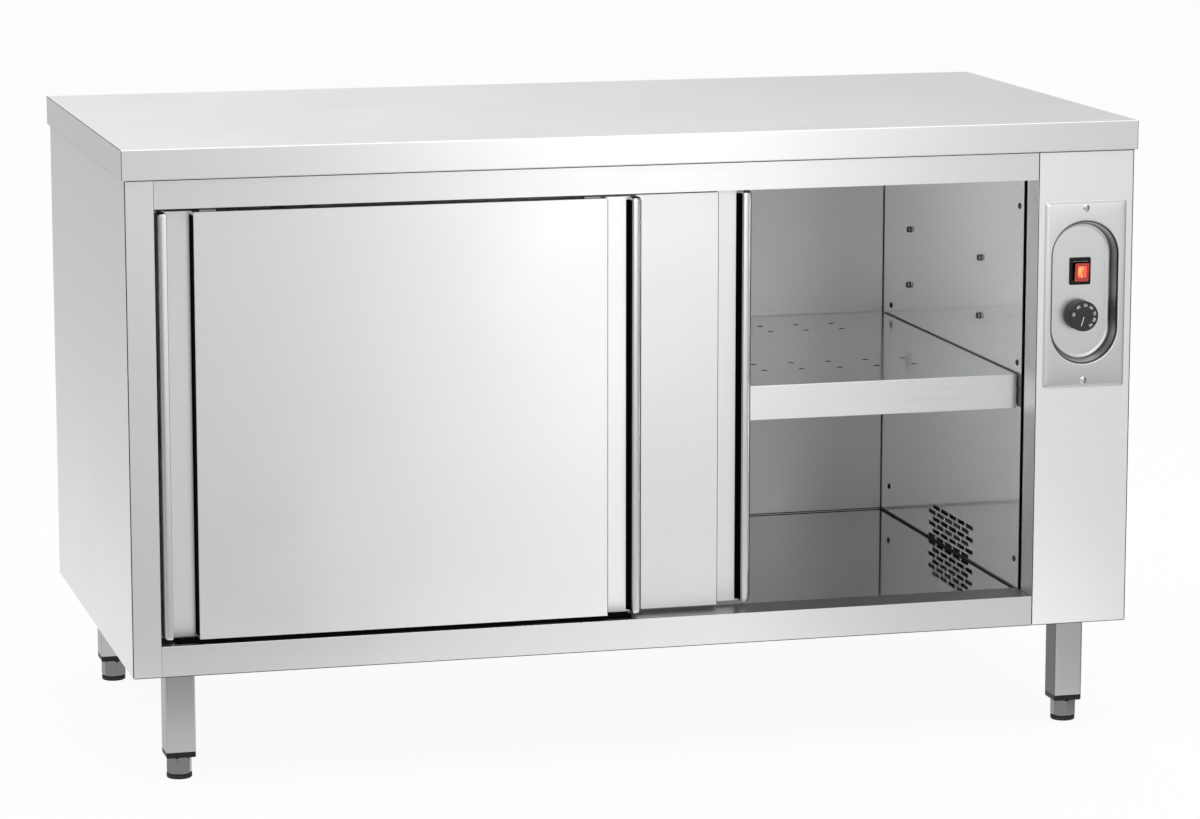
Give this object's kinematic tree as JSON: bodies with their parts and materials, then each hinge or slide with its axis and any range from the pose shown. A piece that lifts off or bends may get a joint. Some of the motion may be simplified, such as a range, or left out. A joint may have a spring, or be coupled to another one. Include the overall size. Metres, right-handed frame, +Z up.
{
  "type": "plate warmer cabinet",
  "caption": "Heated stainless cupboard on screw feet with sliding doors, a lift-out shelf, and a dished control panel beside the doors.",
  "frame": {"origin": "middle of the worktop's outline, on the floor", "axes": "+X to the right, +Y to the back, +Z up; the doors face -Y"},
  "size_m": [1.4, 0.7, 0.85],
  "materials": {
    "worktop_steel": "fine satin stainless",
    "body_steel": "fine satin stainless",
    "door_steel": "fine satin stainless",
    "lining_steel": "bright annealed stainless",
    "shelf_steel": "bright annealed stainless",
    "leg_steel": "satin stainless tube",
    "plate_steel": "bead-blasted stainless",
    "grip_steel": "polished stainless",
    "galvanised_steel": "galvanised sheet",
    "screw_steel": "bright stainless",
    "motor_paint": "dark enamel",
    "heater_steel": "heat-darkened stainless",
    "probe_copper": "bare copper",
    "black_plastic": "moulded polyamide",
    "nylon_white": "machined nylon",
    "cream_plastic": "moulded thermoset",
    "knob_plastic": "fine spark texture",
    "rocker_plastic": "clear red, lit from behind",
    "pad_rubber": "moulded rubber",
    "board": "raw chipboard",
    "mineral_wool": "resin-bonded mineral wool"
  },
  "bodies": {
    "cabinet": {"worktop": "worktop_steel", "worktop_core": "board", "side_left": "body_steel", "side_right": "body_steel", "control_column": "body_steel", "rear_panel": "body_steel", "base_pan": "galvanised_steel", "header_rail": "body_steel", "bottom_rail": "body_steel", "liner_left": "lining_steel", "liner_right": "lining_steel", "liner_rear": "lining_steel", "liner_ceiling": "lining_steel", "liner_floor": "lining_steel", "insulation": "mineral_wool", "door_track": "galvanised_steel", "floor_guides": "black_plastic", "case_screws": "screw_steel", "shelf_studs": "screw_steel", "leg_tubes": "leg_steel", "leg_inserts": "black_plastic", "control_plate": "plate_steel", "plate_screws": "screw_steel", "switch_body": "black_plastic", "thermostat": "cream_plastic", "thermostat_probe": "probe_copper", "safety_thermostat": "black_plastic", "terminal_block": "cream_plastic", "cable_gland": "black_plastic", "fan_housing": "galvanised_steel", "fan_motor": "motor_paint", "heater": "heater_steel"},
    "left_door": {"left_door_skin": "door_steel", "left_door_back": "door_steel", "left_door_core": "mineral_wool", "left_door_handles": "grip_steel", "left_door_hangers": "galvanised_steel"},
    "right_door": {"right_door_skin": "door_steel", "right_door_back": "door_steel", "right_door_core": "mineral_wool", "right_door_handles": "grip_steel", "right_door_hangers": "galvanised_steel"},
    "left_roller_a": {"left_roller_a": "nylon_white"},
    "left_roller_b": {"left_roller_b": "nylon_white"},
    "right_roller_a": {"right_roller_a": "nylon_white"},
    "right_roller_b": {"right_roller_b": "nylon_white"},
    "shelf": {"shelf": "shelf_steel"},
    "knob": {"knob": "knob_plastic", "thermostat_shaft": "screw_steel"},
    "rocker": {"rocker": "rocker_plastic"},
    "fan": {"fan_impeller": "galvanised_steel"},
    "foot_front_left": {"foot_front_left": "leg_steel", "pad_front_left": "pad_rubber"},
    "foot_front_right": {"foot_front_right": "leg_steel", "pad_front_right": "pad_rubber"},
    "foot_rear_left": {"foot_rear_left": "leg_steel", "pad_rear_left": "pad_rubber"},
    "foot_rear_right": {"foot_rear_right": "leg_steel", "pad_rear_right": "pad_rubber"}
  },
  "joints": [
    {"name": "left_door_slide", "type": "slide", "parent": "cabinet", "child": "left_door", "axis": [1, 0, 0], "range_m": [0, 0.555]},
    {"name": "right_door_slide", "type": "slide", "parent": "cabinet", "child": "right_door", "axis": [1, 0, 0], "range_m": [-0.162, 0.393]},
    {"name": "left_roller_a_spin", "type": "hinge", "parent": "left_door", "child": "left_roller_a", "pos_m": [-0.586, -0.331, 0.7973], "axis": [0, 1, 0], "range_deg": [-10, 4600]},
    {"name": "left_roller_b_spin", "type": "hinge", "parent": "left_door", "child": "left_roller_b", "pos_m": [-0.069, -0.331, 0.7973], "axis": [0, 1, 0], "range_deg": [-10, 4600]},
    {"name": "right_roller_a_spin", "type": "hinge", "parent": "right_door", "child": "right_roller_a", "pos_m": [-0.424, -0.302, 0.7973], "axis": [0, 1, 0], "range_deg": [-1400, 3300]},
    {"name": "right_roller_b_spin", "type": "hinge", "parent": "right_door", "child": "right_roller_b", "pos_m": [0.093, -0.302, 0.7973], "axis": [0, 1, 0], "range_deg": [-1400, 3300]},
    {"name": "shelf_lift", "type": "slide", "parent": "cabinet", "child": "shelf", "axis": [0, 0, 1], "range_m": [0, 0.05]},
    {"name": "knob_turn", "type": "hinge", "parent": "cabinet", "child": "knob", "pos_m": [0.627, -0.3275, 0.581], "axis": [0, 1, 0], "range_deg": [0, 270]},
    {"name": "rocker_tip", "type": "hinge", "parent": "cabinet", "child": "rocker", "pos_m": [0.627, -0.326, 0.6415], "axis": [1, 0, 0], "range_deg": [-12, 0]},
    {"name": "fan_spin", "type": "hinge", "parent": "cabinet", "child": "fan", "pos_m": [0.6, 0.003, 0.288], "axis": [1, 0, 0], "continuous": true},
    {"name": "foot_front_left_adjust", "type": "slide", "parent": "cabinet", "child": "foot_front_left", "axis": [0, 0, -1], "range_m": [0, 0.03]},
    {"name": "foot_front_right_adjust", "type": "slide", "parent": "cabinet", "child": "foot_front_right", "axis": [0, 0, -1], "range_m": [0, 0.03]},
    {"name": "foot_rear_left_adjust", "type": "slide", "parent": "cabinet", "child": "foot_rear_left", "axis": [0, 0, -1], "range_m": [0, 0.03]},
    {"name": "foot_rear_right_adjust", "type": "slide", "parent": "cabinet", "child": "foot_rear_right", "axis": [0, 0, -1], "range_m": [0, 0.03]}
  ],
  "couplings": [
    {"joint": "left_roller_a_spin", "follows": "left_door_slide", "rad_per_m": 142.86},
    {"joint": "left_roller_b_spin", "follows": "left_door_slide", "rad_per_m": 142.86},
    {"joint": "right_roller_a_spin", "follows": "right_door_slide", "rad_per_m": 142.86},
    {"joint": "right_roller_b_spin", "follows": "right_door_slide", "rad_per_m": 142.86}
  ]
}
